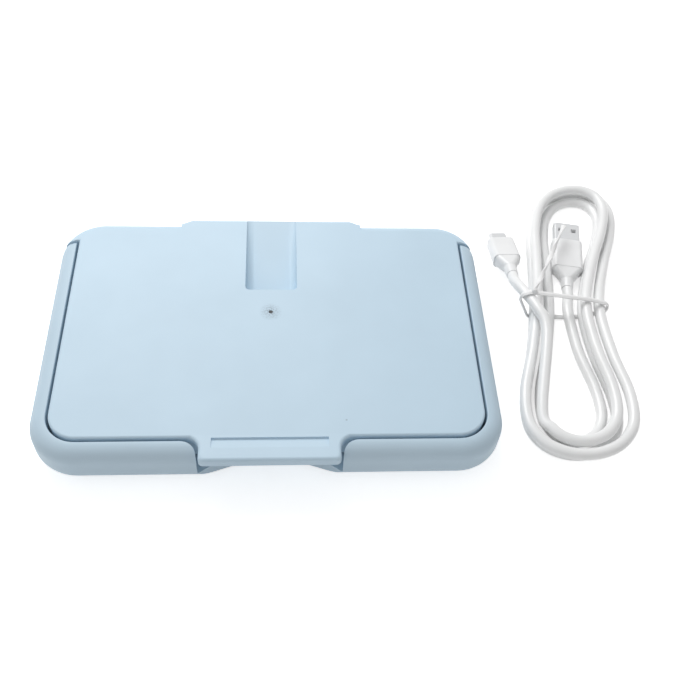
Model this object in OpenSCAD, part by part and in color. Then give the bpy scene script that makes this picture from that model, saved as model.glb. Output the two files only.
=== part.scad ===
// Baby wipe warmer: a flat frame that sits on a pack of wipes, under a heated,
// hinged lid with a recess for its power plug, and the lead that goes with it.
// Millimetres, +Z up, origin under the middle of the frame. The front is at -Y.

/* [Frame] */
// Width of the frame, side to side
body_w = 178; // [166:1:196]
// Depth of the frame, front to back
body_d = 118; // [112:1:126]
// Height of the frame's shell, from its underside to the top of its rim
shell_h = 20; // [20:0.5:23]
// Corner radius of the frame, seen from above
corner_r = 18; // [16:0.5:22]
// Rounding of the shell's lower edge
lower_round = 9; // [7:0.5:10]
// Rounding of the rim's upper edge
rim_round = 6; // [4:0.5:6.5]
// Width of the rim between the lid and the outside, gap included
rim_w = 7.5; // [7:0.25:9]
// Wall thickness of the moulded shells
wall = 2; // [1.6:0.1:2.2]
// Thickness of the deck under the lid
deck_t = 2; // [1.6:0.1:2.2]
// Length of the opening that the wipes come through
opening_l = 108; // [96:1:112]
// Width of the opening that the wipes come through
opening_w = 60; // [52:1:64]
// Corner radius of the opening
opening_r = 12; // [8:1:16]
// Depth of the finger scoop cut into the front
scoop_d = 9.5; // [8:0.5:9.5]

/* [Lid] */
// How far the lid stands above the rim
lid_proud = 0.8; // [0.4:0.1:1.2]
// Gap round the lid
lid_gap = 1; // [0.6:0.1:1.4]
// Corner radius of the lid at the front
lid_r = 11; // [8:0.5:14]
// Thickness of the lid, from its underside to its top
lid_t = 12.6; // [12.2:0.1:13]
// Depth of the lid's full-width part at the rear
shoulder_d = 12; // [10:1:15]
// Width of the finger tab
tab_w = 52; // [44:1:60]
// How far the tab stands out in front of the frame
tab_out = 2.8; // [2.2:0.1:3.4]
// Thickness of the tab's front edge
tab_t = 4; // [3.2:0.1:4.4]
// Width of the plug recess
recess_w = 21.4; // [18:0.2:24]
// Length of the plug recess, from its front wall to the back of the frame
recess_l = 38.6; // [34:0.2:42]
// Depth of the plug recess at its front wall
recess_deep = 7; // [6.6:0.1:7.4]
// Depth of the plug recess at the back
recess_shallow = 1.2; // [0.8:0.1:2]

/* [Hinge] */
// Width of the hinge, over all its knuckles
hinge_w = 78; // [66:1:90]
// Radius of the knuckles
knuckle_r = 2.6; // [2.3:0.1:2.8]
// Radius of the hinge pin
pin_r = 1; // [0.8:0.1:1.2]
// Running clearance of the lid's knuckles round the pin
pin_play = 0.06; // [0.03:0.01:0.1]

/* [Heater] */
// Length of the heating plate
plate_l = 98; // [86:1:102]
// Width of the heating plate
plate_w = 50; // [42:1:54]
// Thickness of the heating plate
plate_t = 1; // [0.8:0.1:1]
// Height of the seal round the opening
seal_h = 1.1; // [0.8:0.1:1.2]
// Thickness of the foam pad under the frame
pad_t = 1.2; // [0.8:0.1:2]

/* [Lead] */
// Diameter of the lead
cord_d = 4.8; // [4:0.1:5]
// Spacing of the lead's loops
cord_step = 6; // [5.95:0.05:6.2]
// Width of the lead's USB-A plug
plug_a_w = 14; // [12.8:0.1:14.4]
// Width of the lead's USB-C plug
plug_c_w = 12.4; // [11:0.1:12.6]

/* [Hidden] */
$fn = 64;
eps = 0.01;

// Colours
pale_blue = [0.74, 0.85, 0.91];
soft_white = [0.93, 0.94, 0.94];
steel = [0.72, 0.73, 0.75];

// Places that follow from the sizes
front_y = -body_d / 2;
rear_y = body_d / 2;
lid_front = front_y + rim_w;
lid_w = body_w - 2 * rim_w;
shoulder_y = rear_y - shoulder_d;
rim_z = pad_t + shell_h;
lid_top = rim_z + lid_proud;
lid_bottom = lid_top - lid_t;
lift = 0.4;                          // under the lid, at rest
rear_wall_z = lid_bottom - lift;
seal_gap = 0.3;
deck_top = lid_bottom - seal_gap - seal_h;
deck_z = deck_top - deck_t;
plate_gap = 0.2;
inner_top = lid_bottom + 1.6;        // top of the lid's inner cover
ceiling_z = lid_top - wall;
opening_y = -1;
tab_front = front_y - tab_out;
tab_gap = 1;
notch_w = tab_w + 2 * tab_gap;
notch_r = 6;
cheek_w = 9;

// Hinge
knuckle_gap = 0.3;
pivot_y = rear_y + 0.2;
pivot_z = lid_bottom - 1.5;
mid_knuckle = hinge_w * 0.6;
hinge_back = rear_y + 1.9;

// Plug recess: its floor climbs to the back
recess_y = rear_y - recess_l;
recess_z = lid_top - recess_deep;
ramp = atan((recess_deep - recess_shallow) / recess_l);
floor_r = 4.5;
recess_wall = 1.6;

// Circuit board, in the recess's own tilted frame
board_t = 1.2;
board_top = 2;
board_w = 30;
board_l = 23;
board_y = -recess_wall - 0.4 - board_l;
led_y = -11.7;
guide_r = 0.8;
socket_w = 8.94;
socket_h = 3.16;
socket_l = 7.3;

// Screws
screw_r = 1.1;
head_r = 2.2;
head_h = 1.3;
boss_r = 3;
pilot_play = 0.05;
base_screw_in = [17, 18];            // from the frame's sides, and from its front and back
lid_screw_in = 7.5;                  // from the lid's sides and front
base_screw_at = [for (sx = [-1:1], sy = [-1, 1])
    [sx * (body_w / 2 - base_screw_in[0]), sy * (body_d / 2 - base_screw_in[1])]];
lid_screw_at = [for (s = [-1, 1], y = [lid_front + lid_screw_in, (lid_front + rear_y) / 2, shoulder_y - 1])
    [s * (lid_w / 2 - lid_screw_in), y]];
board_screw_at = [for (s = [-1, 1]) [s * 12, board_y + 3.5]];
rivet_at = [for (sx = [-1, 1], sy = [-1, 1]) [sx * (plate_l / 2 - 5), sy * (plate_w / 2 - 5)]];
rivet_r = 1;

// Lead: a hank tied at its waist, lying to the right of the frame. The hank's own
// frame has its origin at the tie and +Y towards the plugs.
hank_at = [128, 22];
waist_half = 15.8;                   // the outermost loop's half width at the tie
front_bulge = [40, -8];              // what the loops widen by towards their folds
rear_bulge = 28;
front_reach = 76;                    // from the tie to the outermost folds
rear_reach = 79;
waist_step = 1.1;                    // the loops' steps, as shares of cord_step
front_step = 0.9;
rear_step = 0.8;
fold_rings = 8;                      // draws the rings together at the folds
lean = 0.175;
rear_lean = 0.105;
lean_start = 12;
last_turn = 3.38;
turn_back = 2;                       // the spiral reverses and climbs here
layer_h = cord_d + 0.7;
tie_room = 1.9;                      // the tie runs under the loops
tie_room_l = 24;
rings = 24;

// ---------------------------------------------------------------- helpers
function arc(cx, cy, r, from, to, n = 8) =
    [for (i = [0:n]) let (a = from + (to - from) * i / n) [cx + r * cos(a), cy + r * sin(a)]];

// Rounded rectangle, centred, w by d
module round_rect(w, d, r) {
    square([w - 2 * r, d], center = true);
    square([w, d - 2 * r], center = true);
    for (sx = [-1, 1], sy = [-1, 1]) translate([sx * (w / 2 - r), sy * (d / 2 - r)]) circle(r);
}

// Outline of the frame, grown by g
module body_outline(g = 0) {
    round_rect(body_w + 2 * g, body_d + 2 * g, corner_r + g);
}

// Main part of the lid's outline, grown by g
module lid_main(g = 0) {
    d = rear_y - lid_front;
    translate([0, (rear_y + lid_front) / 2]) round_rect(lid_w + 2 * g, d + 2 * g, lid_r + g);
}

// Whole outline of the lid without its tab, grown by g
module lid_outline(g = 0) {
    lid_main(g);
    intersection() {
        body_outline(min(g, 0));
        translate([-body_w, shoulder_y - g]) square([2 * body_w, body_d]);
    }
}

// Edge of the frame's outer form, from the corner's axis outwards
module edge_profile(r, h, lo, hi) {
    square([r - lo, h]);
    translate([0, lo]) square([r - hi, h - lo]);
    translate([0, lo]) square([r, h - lo - hi]);
    intersection() {
        translate([r - lo, lo]) circle(lo);
        translate([r - lo, 0]) square([lo, lo]);
    }
    intersection() {
        translate([r - hi, h - hi]) circle(hi);
        translate([r - hi, h - hi]) square([hi, hi]);
    }
}

// The frame's outer form, rounded below and at the rim: inset by a wall, or whole
module body_form(shell, inset = 0) {
    r = corner_r - inset;
    h = shell - 2 * inset;
    lo = lower_round - inset;
    hi = rim_round - inset;
    straight = [body_w - 2 * corner_r, body_d - 2 * corner_r];
    translate([0, 0, pad_t + inset]) {
        for (sx = [-1, 1], sy = [-1, 1])
            translate([sx * straight[0] / 2, sy * straight[1] / 2, 0])
                rotate_extrude() edge_profile(r, h, lo, hi);
        for (turn = [0, 1], side = [0, 1]) {
            l = straight[side];
            rotate([0, 0, 180 * turn + 90 * side]) translate([-l / 2, -straight[1 - side] / 2, 0])
                rotate([0, 0, -90]) rotate([90, 0, 0]) mirror([0, 0, 1]) linear_extrude(l)
                    edge_profile(r, h, lo, hi);
        }
        translate([-straight[0] / 2, -straight[1] / 2, 0]) cube([straight[0], straight[1], h]);
    }
}

// Cylinder along X, centred on x = 0
module x_rod(r, l) {
    rotate([0, 90, 0]) cylinder(r = r, h = l, center = true);
}

module pan_screw(shank_l, r = screw_r, head = head_r, h = head_h) {
    translate([0, 0, -h]) cylinder(r = head, h = h);
    cylinder(r = r, h = shank_l);
}

module in_recess() {
    translate([0, recess_y, recess_z]) rotate([ramp, 0, 0]) children();
}

// The plug recess as a solid, grown by g, in its own frame
module recess_form(g = 0) {
    w = recess_w + 2 * g;
    r = floor_r + g;
    rotate([90, 0, 180]) translate([0, 0, -g]) linear_extrude(recess_l + 12) {
        translate([-w / 2, r - g]) square([w, 20]);
        translate([-w / 2 + r, -g]) square([w - 2 * r, 20]);
        for (s = [-1, 1]) translate([s * (w / 2 - r), r - g]) circle(r);
    }
}

// ---------------------------------------------------------------- frame
// Finger scoop under the tab, grown by g: a shallow arc as wide as the notch
module scoop_outline(g = 0) {
    r = (pow(notch_w / 2, 2) + pow(scoop_d, 2)) / (2 * scoop_d);
    translate([0, front_y + scoop_d - r]) circle(r + g);
}

// Space round the tab where it leaves the lid, with the rim's ends rounded
module notch_shoulders() {
    in_gap = 1;
    translate([-notch_w / 2, front_y - 1]) square([notch_w, rim_w - lid_gap + in_gap + 1]);
    for (s = [-1, 1]) difference() {
        translate([s * (notch_w + notch_r - in_gap) / 2, lid_front - lid_gap - (notch_r - in_gap) / 2])
            square(notch_r + in_gap, center = true);
        translate([s * (notch_w / 2 + notch_r), lid_front - lid_gap - notch_r]) circle(notch_r);
    }
}

module base_frame() {
    color(pale_blue) difference() {
        union() {
            intersection() {
                body_form(shell_h);
                union() {
                    difference() {
                        translate([-body_w, -body_d, 0]) cube([2 * body_w, 2 * body_d, 2 * shell_h]);
                        body_form(shell_h, wall);
                    }
                    translate([0, 0, deck_z]) linear_extrude(shell_h) lid_main(lid_gap + wall);
                    translate([-body_w, shoulder_y - lid_gap - wall, deck_z])
                        cube([2 * body_w, body_d, shell_h]);
                    for (s = [-1, 1]) translate([s * (notch_w / 2 + cheek_w / 2), front_y, 0])
                        translate([-cheek_w / 2, 0, 0]) cube([cheek_w, rim_w + 2, shell_h + pad_t]);
                    linear_extrude(deck_top) scoop_outline(wall);
                    translate([-hinge_w / 2 - 4, rear_y - 9, pad_t + wall])
                        cube([hinge_w + 8, 9, rear_wall_z]);
                    translate([0, opening_y, pad_t + wall]) linear_extrude(deck_z - pad_t - wall + deck_t / 2)
                        round_rect(opening_l + 2 * wall, opening_w + 2 * wall, opening_r + wall);
                    for (p = base_screw_at) translate([p[0], p[1], pad_t + wall])
                        cylinder(r = boss_r, h = deck_z - pad_t);
                }
            }
            translate([0, pivot_y, pivot_z]) x_rod(knuckle_r, mid_knuckle);
        }
        // recess for the bottom plate
        translate([0, 0, -eps]) linear_extrude(pad_t + wall + eps)
            round_rect(body_w - 2 * lower_round - 0.8, body_d - 2 * lower_round - 0.8,
                corner_r - lower_round);
        // room for the lid
        translate([0, 0, deck_top]) linear_extrude(shell_h) intersection() {
            lid_main(lid_gap);
            translate([-body_w, -body_d]) square([2 * body_w, body_d + rear_y - 4]);
        }
        difference() {
            translate([-body_w, shoulder_y - lid_gap, rear_wall_z]) cube([2 * body_w, body_d, shell_h]);
            translate([0, pivot_y, pivot_z]) x_rod(knuckle_r, mid_knuckle);
        }
        // opening for the wipes
        translate([0, opening_y, -1]) linear_extrude(shell_h) round_rect(opening_l, opening_w, opening_r);
        // finger scoop and tab notch
        translate([0, 0, -1]) linear_extrude(shell_h + 10) scoop_outline();
        translate([0, 0, deck_top]) linear_extrude(shell_h) notch_shoulders();
        // room for the lid's knuckles, and the pin's bore
        for (s = [-1, 1]) translate([s * (hinge_w + mid_knuckle) / 4, pivot_y, pivot_z])
            x_rod(knuckle_r + knuckle_gap, (hinge_w - mid_knuckle) / 2 + 2 * knuckle_gap);
        translate([0, pivot_y, pivot_z]) x_rod(pin_r + 0.02, hinge_w);
        for (p = base_screw_at) translate([p[0], p[1], pad_t]) cylinder(r = screw_r + pilot_play, h = 6.4);
    }
}

module bottom_plate() {
    color(pale_blue) difference() {
        translate([0, 0, pad_t]) linear_extrude(wall) difference() {
            round_rect(body_w - 2 * lower_round - 0.8 - 2 * plate_gap,
                body_d - 2 * lower_round - 0.8 - 2 * plate_gap, corner_r - lower_round - plate_gap);
            translate([0, opening_y]) round_rect(opening_l, opening_w, opening_r);
            scoop_outline(wall + plate_gap);
        }
        for (p = base_screw_at) translate([p[0], p[1], pad_t - eps]) {
            cylinder(r = head_r + 0.3, h = head_h + eps);
            cylinder(r = screw_r + 0.3, h = wall + 1);
        }
    }
}

module base_screws() {
    color(steel) for (p = base_screw_at)
        translate([p[0], p[1], pad_t + head_h]) pan_screw(4.6, h = head_h - 0.1);
}

module opening_seal() {
    color([0.86, 0.9, 0.92]) translate([0, opening_y, deck_top]) linear_extrude(seal_h) difference() {
        round_rect(opening_l + 10, opening_w + 10, opening_r + 5);
        round_rect(opening_l + 4, opening_w + 4, opening_r + 2);
    }
}

module adhesive_pad() {
    color([0.95, 0.95, 0.93]) translate([0, opening_y, 0]) linear_extrude(pad_t) difference() {
        round_rect(opening_l + 24, opening_w + 18, opening_r + 6);
        round_rect(opening_l + 4, opening_w + 4, opening_r + 2);
    }
}

module hinge_pin() {
    color(steel) translate([0, pivot_y, pivot_z]) x_rod(pin_r, hinge_w - 1);
}

// ---------------------------------------------------------------- lid
// The lid's outer form, inset by g
module lid_form(g = 0) {
    intersection() {
        translate([0, 0, lid_bottom - (g > 0 ? 1 : 0)])
            linear_extrude(lid_t - (g > 0 ? g - 1 : 0)) lid_outline(-g);
        body_form(shell_h + lid_proud, g);
    }
}

// Skirt over the hinge, with its upper edge rounded, as seen from the side
module hinge_skirt_profile() {
    r = 3;
    polygon(concat([[rear_y - 9, lid_top - wall], [rear_y - 9, lid_top]],
        arc(hinge_back - r, lid_top - r, r, 90, 0),
        [[hinge_back, pivot_z + 0.6], [pivot_y - 2, pivot_z + 0.6], [pivot_y - 2, lid_top - wall]]));
}

module tab() {
    rise = 0.4;
    edge_r = 1.2;
    flare = notch_r - tab_gap;
    back = lid_front + 3;
    translate([-tab_w / 2, 0, 0]) rotate([90, 0, 90]) linear_extrude(tab_w)
        polygon(concat([[back, lid_top - tab_t], [tab_front + edge_r, lid_top - tab_t]],
            arc(tab_front + edge_r, lid_top + rise - edge_r, edge_r, 180, 90, 4),
            [[lid_front, lid_top], [back, lid_top]]));
    for (s = [-1, 1]) translate([0, 0, lid_top - tab_t]) linear_extrude(tab_t) difference() {
        translate([s * (tab_w / 2 + flare / 2), lid_front - flare / 2])
            square([flare + 0.4, flare + 0.4], center = true);
        translate([s * (tab_w / 2 + flare + 0.2), lid_front - flare - 0.2]) circle(flare + 0.2);
    }
}

// Shallow step where the thumb pulls: deep at the lid's edge, fading to the front
module thumb_step() {
    w = tab_w - 9;
    depth = 0.8;
    deep_y = lid_front - 0.4;
    fade_y = deep_y - 4;
    translate([-w / 2, 0, 0]) rotate([90, 0, 90]) linear_extrude(w)
        polygon([[deep_y, lid_top - depth], [deep_y, lid_top + 2],
            [fade_y, lid_top + 2], [fade_y, lid_top + 0.1]]);
}

module lid_cover() {
    color(pale_blue) difference() {
        union() {
            difference() {
                lid_form();
                lid_form(wall);
            }
            tab();
            translate([-hinge_w / 2, 0, 0]) rotate([90, 0, 90]) linear_extrude(hinge_w) hinge_skirt_profile();
            for (s = [-1, 1]) translate([s * (hinge_w + mid_knuckle) / 4, pivot_y, pivot_z])
                x_rod(knuckle_r, (hinge_w - mid_knuckle) / 2);
            intersection() {
                in_recess() {
                    recess_form(recess_wall);
                    for (p = board_screw_at) translate([p[0], p[1], board_top]) cylinder(r = 2, h = 10);
                }
                lid_form();
            }
            for (p = lid_screw_at) translate([p[0], p[1], inner_top])
                cylinder(r = boss_r, h = ceiling_z - inner_top + eps);
        }
        in_recess() recess_form();
        thumb_step();
        translate([0, pivot_y, pivot_z]) x_rod(knuckle_r + knuckle_gap, mid_knuckle + 2 * knuckle_gap);
        translate([0, pivot_y, pivot_z]) x_rod(pin_r + pin_play, hinge_w + 1);
        for (p = lid_screw_at) translate([p[0], p[1], inner_top - eps])
            cylinder(r = screw_r + pilot_play, h = 6);
        in_recess() {
            translate([0, led_y, 0]) cylinder(r = guide_r + 0.05, h = 14);
            translate([0, 1, board_top + socket_h / 2]) rotate([90, 0, 0]) linear_extrude(recess_wall + 2)
                round_rect(socket_w + 0.4, socket_h + 0.4, socket_h / 2 - 0.1);
            for (p = board_screw_at) translate([p[0], p[1], board_top - eps])
                cylinder(r = 0.8 + pilot_play, h = 3);
        }
    }
}

module lid_inner_cover() {
    color(soft_white) difference() {
        translate([0, 0, lid_bottom]) linear_extrude(inner_top - lid_bottom) difference() {
            intersection() {
                lid_outline(-wall - plate_gap);
                translate([-body_w, -body_d]) square([2 * body_w, body_d + rear_y - 4]);
            }
            translate([0, opening_y]) round_rect(plate_l - 8, plate_w - 8, 6);
        }
        for (p = lid_screw_at) translate([p[0], p[1], lid_bottom - eps]) {
            cylinder(r = head_r + 0.3, h = 1 + eps);
            cylinder(r = screw_r + 0.3, h = 3);
        }
        for (p = rivet_at) translate([p[0], p[1] + opening_y, lid_bottom - 1])
            cylinder(r = rivet_r + 0.05, h = 4);
    }
}

module lid_screws() {
    color(steel) for (p = lid_screw_at)
        translate([p[0], p[1], lid_bottom + 1]) pan_screw(5.6, h = 0.9);
}

// ---------------------------------------------------------------- heater
module heating_plate() {
    color([0.8, 0.81, 0.82]) translate([0, opening_y, lid_bottom - plate_t]) linear_extrude(plate_t)
        difference() {
            round_rect(plate_l, plate_w, 8);
            for (p = rivet_at) translate(p) circle(rivet_r + 0.05);
        }
}

module plate_rivets() {
    head_t = 0.5;
    grip = plate_t + inner_top - lid_bottom;
    color(steel) for (p = rivet_at) translate([p[0], p[1] + opening_y, lid_bottom - plate_t]) {
        translate([0, 0, -head_t]) cylinder(r = 1.9, h = head_t);
        cylinder(r = rivet_r, h = grip);
        translate([0, 0, grip]) cylinder(r = 1.7, h = head_t);
    }
}

film_l = plate_l - 10;
film_w = plate_w - 10;
film_t = 0.3;
felt_t = 1.8;
film_z = lid_bottom;
sensor_at = [22, -12];
fuse_at = [-26, -12];

module heater_film() {
    color([0.8, 0.5, 0.2]) translate([0, opening_y, film_z]) linear_extrude(film_t)
        round_rect(film_l, film_w, 4);
}

module insulation_sheet() {
    color([0.9, 0.9, 0.88]) translate([0, opening_y, film_z + film_t]) difference() {
        linear_extrude(felt_t) round_rect(film_l, film_w, 4);
        translate([sensor_at[0] - 4, sensor_at[1] - 2, -1]) cube([8, 4, 4]);
        translate([fuse_at[0] - 7, fuse_at[1] - 2.4, -1]) cube([14, 4.8, 4]);
    }
}

module temperature_sensor() {
    color([0.2, 0.2, 0.2]) translate([sensor_at[0], sensor_at[1] + opening_y, film_z + film_t + 1])
        x_rod(1, 5);
}

module thermal_fuse() {
    color(steel) translate([fuse_at[0], fuse_at[1] + opening_y, film_z + film_t + 1.7]) x_rod(1.7, 10);
}

module circuit_board() {
    color([0.12, 0.4, 0.25]) in_recess() difference() {
        translate([-board_w / 2, board_y, board_top - board_t]) cube([board_w, board_l, board_t]);
        for (p = board_screw_at) translate([p[0], p[1], -1]) cylinder(r = 1, h = 5);
    }
}

module board_parts() {
    color([0.15, 0.15, 0.16]) in_recess() translate([0, 0, board_top]) {
        translate([4.5, -17, 0]) cube([5, 4.4, 1.3]);
        translate([-10, -14.5, 0]) cube([4.6, 6, 1.6]);
        translate([-4.5, -20, 0]) cylinder(r = 2, h = 3.4);
        for (i = [0:3]) translate([5 + 2.2 * i, -9, 0]) cube([1, 2, 0.6]);
        for (i = [0:1]) translate([-13, -8 + 3 * i, 0]) cube([2, 1.2, 0.7]);
    }
}

module board_screws() {
    color(steel) in_recess() for (p = board_screw_at)
        translate([p[0], p[1], board_top - board_t]) pan_screw(3.6, r = 0.8, head = 1.6, h = 0.9);
}

module usb_socket() {
    color(steel) in_recess() translate([0, -0.2, board_top + socket_h / 2]) rotate([90, 0, 0]) {
        linear_extrude(socket_l) difference() {
            round_rect(socket_w, socket_h, socket_h / 2 - 0.1);
            round_rect(socket_w - 0.6, socket_h - 0.6, socket_h / 2 - 0.4);
        }
        translate([0, 0, socket_l - 0.8]) linear_extrude(0.8) round_rect(socket_w - 0.3, socket_h - 0.3, 1.2);
        translate([0, 0, 0.6]) linear_extrude(socket_l - 0.6) square([6.7, 0.7], center = true);
    }
}

module indicator_led() {
    color([0.9, 0.95, 0.9]) in_recess() translate([0, led_y, board_top]) {
        cylinder(r = 1.1, h = 1.2);
        translate([0, 0, 1.2]) sphere(1.1);
    }
}

module light_guide() {
    color([0.2, 0.22, 0.25]) intersection() {
        in_recess() translate([0, led_y, board_top + 2.3]) cylinder(r = guide_r, h = 12);
        translate([-5, -20, 0]) cube([10, 40, lid_top - 0.1]);
    }
}

module heater_leads() {
    z = film_z + film_t + felt_t + 0.7;
    board_end = recess_y + board_y;
    film_end = [film_l / 2 - 4, opening_y + film_w / 2 - 2];
    color([0.75, 0.15, 0.12]) for (s = [-1, 1])
        tube([[s * 13, board_end - 1.4, z + 2], [s * 18, board_end - 0.4, z + 1.4], [s * 24, board_end + 2.6, z],
            [s * (film_end[0] - 6), film_end[1] - 8, z], [s * film_end[0], film_end[1], z]], 0.5, 8);
}

// ---------------------------------------------------------------- lead
function smooth(t) = let (u = min(max(t, 0), 1)) u * u * (3 - 2 * u);

// Half width of a loop that lies d inside the outermost one, where c is 1 at the
// rear folds, 0 at the tie and -1 at the front folds
function half_width(c, d) = waist_half + (c < 0
    ? front_bulge[0] * pow(c, 2) + front_bulge[1] * pow(c, 4) - d * (waist_step + front_step * pow(c, 2))
    : rear_bulge * pow(c, 2) - d * (waist_step + rear_step * pow(c, 2)));

// Centre of the lead after t turns. It starts inside, at the right of the tie, runs
// to the front, spirals out on the floor, climbs and spirals in again on top.
function hank_point(t) =
    let (b = 90 + 360 * t, a = b - fold_rings * sin(2 * b), c = cos(a),
        d = cord_step * abs(turn_back - t), y = ((c < 0 ? front_reach : rear_reach) - d) * c,
        x = half_width(c, d) * sin(a) + lean * y + rear_lean * (norm([y, lean_start]) - lean_start))
    [x, y, cord_d / 2 + layer_h * smooth((t - turn_back + 0.14) / 0.24)
        + tie_room * exp(-pow(y / tie_room_l, 2))];

// Places of the two plugs: where the lead enters, and the turn about Z and downwards
plug_a_at = [5.2, 14, 3.7];
plug_a_turn = -10;
plug_a_dip = 0;
plug_a_h = 7.4;
plug_c_at = [-20.8, 17, 9.8];
plug_c_turn = 2;
plug_c_dip = 12;
plug_c_h = 7;

// The lead's straight end into plug A, its turns, and its way over its own loops to plug C
lead_points = concat(
    [plug_a_at, plug_a_at - [0.6, 4.8, 0]],
    [for (i = [0:round(rings * last_turn)]) hank_point(i / rings)],
    [[-12.6, -19, 14.1], [-15, -6, 15.2], [-18.8, 5, 13.4], plug_c_at + [0.3, -5, 1.1], plug_c_at]);

function unit(v) = v / norm(v);

// Rings of a tube of radius r round the points
function tube_rings(p, r, sides) = [for (i = [0:len(p) - 1])
    let (t = unit(p[min(i + 1, len(p) - 1)] - p[max(i - 1, 0)]), u = unit(cross(t, [0, 0, 1])), v = cross(u, t))
    for (k = [0:sides - 1]) let (a = 360 * (k + 0.5) / sides) p[i] + r * (cos(a) * u + sin(a) * v)];

module tube(p, r, sides) {
    last = len(p) - 1;
    walls = [for (i = [0:last - 1], k = [0:sides - 1])
        let (next = (k + 1) % sides, a = i * sides, b = a + sides)
        each [[a + k, b + k, a + next], [a + next, b + k, b + next]]];
    ends = [[for (k = [0:sides - 1]) k], [for (k = [sides - 1:-1:0]) last * sides + k]];
    polyhedron(tube_rings(p, r, sides), concat(walls, ends));
}

module at_hank() {
    translate([hank_at[0], hank_at[1], 0]) children();
}

module usb_cable() {
    color(soft_white) at_hank() tube(lead_points, cord_d / 2, 6);
}

// Flat tie round the waist, as seen from the front, and its tail, which lies over the
// loops in a straight line, as seen from its own side
tie_ring = [[-13.1, 0.9], [-14, 1.1], [-15.5, 2.3], [-20.7, 13], [-20.7, 15.1], [-20, 16.3], [-19, 17],
    [-17.4, 17.7], [-16.4, 17.7], [10.3, 13], [18.1, 10.4], [19, 9.5], [19.5, 8.3], [19.5, 6.9],
    [19, 5.7], [18.2, 4.9], [10.1, 0.9]];
tie_tail = [[-0.8, 18.4], [4.7, 18], [13.7, 15.2], [24.9, 13.2], [37.3, 12.8], [49.6, 13.6]];
tie_w = 2;
tie_h = 1.2;
tail_x = -15.5;
tail_turn = 63;
knot_r = 1.5;
knot_z = 18.9;

// Points of a flat line, moved h to its left
function beside(p, h, closed) = [for (i = [0:len(p) - 1])
    let (n = len(p), after = closed ? (i + 1) % n : min(i + 1, n - 1),
        before = closed ? (i + n - 1) % n : max(i - 1, 0), t = unit(p[after] - p[before]))
    p[i] + h * [-t[1], t[0]]];

module upright_band() {
    translate([0, tie_w / 2, 0]) rotate([90, 0, 0]) linear_extrude(tie_w) children();
}

module cable_tie() {
    under = beside(tie_tail, -tie_h / 2, false);
    color(soft_white) at_hank() {
        upright_band() difference() {
            polygon(beside(tie_ring, tie_h / 2, true));
            polygon(beside(tie_ring, -tie_h / 2, true));
        }
        translate([tail_x, 0, 0]) {
            rotate([0, 0, tail_turn]) upright_band()
                polygon(concat(beside(tie_tail, tie_h / 2, false), [for (i = [len(under) - 1:-1:0]) under[i]]));
            translate([0, 0, knot_z]) sphere(knot_r);
        }
    }
}

module at_plug_a() {
    at_hank() translate(plug_a_at) rotate([0, 0, plug_a_turn]) rotate([-90 - plug_a_dip, 0, 0]) children();
}

module at_plug_c() {
    at_hank() translate(plug_c_at) rotate([0, 0, plug_c_turn]) rotate([-90 - plug_c_dip, 0, 0]) children();
}

// Moulded plug body along +Z from the lead: strain relief, then a grip of w by h
module plug_body(w, h, relief_l, grip_l) {
    neck_r = cord_d / 2 + 0.7;
    cylinder(r1 = cord_d / 2 + 0.2, r2 = neck_r, h = relief_l);
    hull() {
        translate([0, 0, relief_l - 1]) cylinder(r = neck_r, h = 1, $fn = 32);
        translate([0, 0, relief_l + 5]) linear_extrude(1) round_rect(w - 1, h - 0.4, 2, $fn = 32);
    }
    translate([0, 0, relief_l + 5]) linear_extrude(grip_l - 5) round_rect(w, h, 2.2);
}

a_relief = 6;
a_grip = 22;
a_shell = 11.8;
c_relief = 6;
c_grip = 19;
c_shell = 6.6;

module usb_a_body() {
    color(soft_white) at_plug_a() plug_body(plug_a_w, plug_a_h, a_relief, a_grip);
}

module usb_a_shell() {
    color(steel) at_plug_a() translate([0, 0, a_relief + a_grip]) difference() {
        linear_extrude(a_shell) difference() {
            round_rect(12, 4.5, 0.6);
            round_rect(11.4, 3.9, 0.3);
        }
        for (s = [-1, 1]) translate([s * 3 - 1.1, -4, 6.2]) cube([2.2, 8, 2.2]);
    }
}

module usb_a_tongue() {
    color(soft_white) at_plug_a() translate([-5.5, 0.1, a_relief + a_grip]) cube([11, 1.75, 11]);
}

module usb_c_body() {
    color(soft_white) at_plug_c() plug_body(plug_c_w, plug_c_h, c_relief, c_grip);
}

module usb_c_shell() {
    color(steel) at_plug_c() translate([0, 0, c_relief + c_grip]) difference() {
        linear_extrude(c_shell) round_rect(8.34, 2.56, 1.27);
        translate([0, 0, 1]) linear_extrude(c_shell) round_rect(7.7, 1.9, 0.94);
    }
}

// Length of the lead, and the least gap between its loops, measured on its own points
function part_way(p, n) = [for (i = [0:len(p) - 2], k = [0:n - 1]) p[i] + (p[i + 1] - p[i]) * k / n];
steps = [for (i = [0:len(lead_points) - 2]) norm(lead_points[i + 1] - lead_points[i])];
fine = part_way(lead_points, 8);
next_loop = 40;
least_gap = min([for (i = [0:2:len(fine) - 1 - next_loop], j = [i + next_loop:len(fine) - 1])
    norm(fine[i] - fine[j])]) - cord_d;
union() {  // usb_cable
    echo(lead_length = steps * [for (s = steps) 1], least_gap = least_gap);
}

base_frame();
bottom_plate();
opening_seal();
adhesive_pad();
base_screws();
hinge_pin();
lid_cover();
lid_inner_cover();
heating_plate();
plate_rivets();
heater_film();
insulation_sheet();
circuit_board();
board_parts();
board_screws();
usb_socket();
indicator_led();
light_guide();
temperature_sensor();
thermal_fuse();
heater_leads();
lid_screws();
usb_cable();
cable_tie();
usb_a_body();
usb_a_shell();
usb_a_tongue();
usb_c_body();
usb_c_shell();
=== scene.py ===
# Baby wipe warmer: the looks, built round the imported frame. Sizes here are in millimetres.
import math

import bmesh
import bpy
from mathutils import Matrix, Vector


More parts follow.
